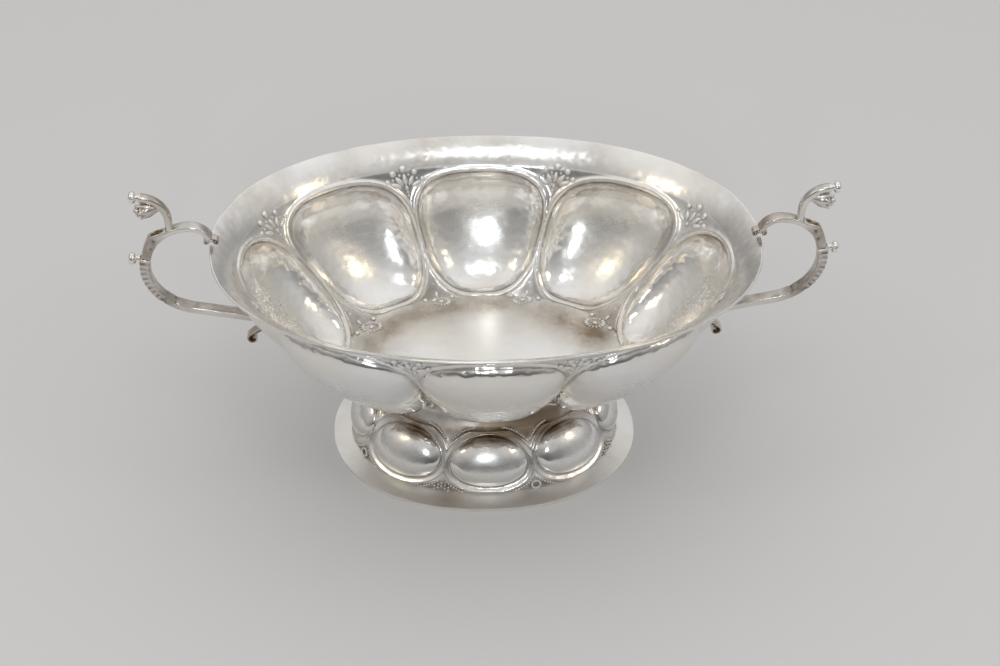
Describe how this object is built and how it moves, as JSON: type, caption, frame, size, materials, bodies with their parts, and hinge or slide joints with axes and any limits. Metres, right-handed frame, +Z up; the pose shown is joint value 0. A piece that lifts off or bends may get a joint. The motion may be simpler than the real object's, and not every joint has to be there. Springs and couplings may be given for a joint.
{
  "type": "brandy bowl",
  "caption": "Oval lobed silver drinking bowl on a spreading lobed foot, with a slender cast scroll handle at each end.",
  "frame": {"origin": "on the table surface, under the middle of the foot", "axes": "+X along the bowl's length through both handles, +Z up"},
  "size_m": [0.2222, 0.119, 0.0986],
  "materials": {
    "silver_bowl": "polished raised silver, chased, fine planishing marks and light tarnish",
    "silver_foot": "polished raised silver, warm tarnish in the neck and round the bosses",
    "silver_strap": "cast silver, worn bright at the edges, brownish on the flat faces",
    "silver_ornament": "cast silver ornament with dark tarnish in the recesses",
    "silver_bead": "small turned silver beads, bright from touch"
  },
  "bodies": {
    "root": {"bowl_body": "silver_bowl", "foot": "silver_foot", "right_rim_volutes": "silver_ornament", "right_upper_handle": "silver_strap", "right_joint_collar": "silver_strap", "right_lower_handle": "silver_strap", "right_handle_tail": "silver_ornament", "right_thumb_scroll": "silver_strap", "right_scroll_bud": "silver_ornament", "right_bud_grains": "silver_ornament", "right_thumb_bead_collar": "silver_bead", "right_thumb_bead": "silver_bead", "right_back_bead_collar": "silver_bead", "right_back_bead": "silver_bead", "left_rim_volutes": "silver_ornament", "left_upper_handle": "silver_strap", "left_joint_collar": "silver_strap", "left_lower_handle": "silver_strap", "left_handle_tail": "silver_ornament", "left_thumb_scroll": "silver_strap", "left_scroll_bud": "silver_ornament", "left_bud_grains": "silver_ornament", "left_thumb_bead_collar": "silver_bead", "left_thumb_bead": "silver_bead", "left_back_bead_collar": "silver_bead", "left_back_bead": "silver_bead"}
  },
  "joints": []
}
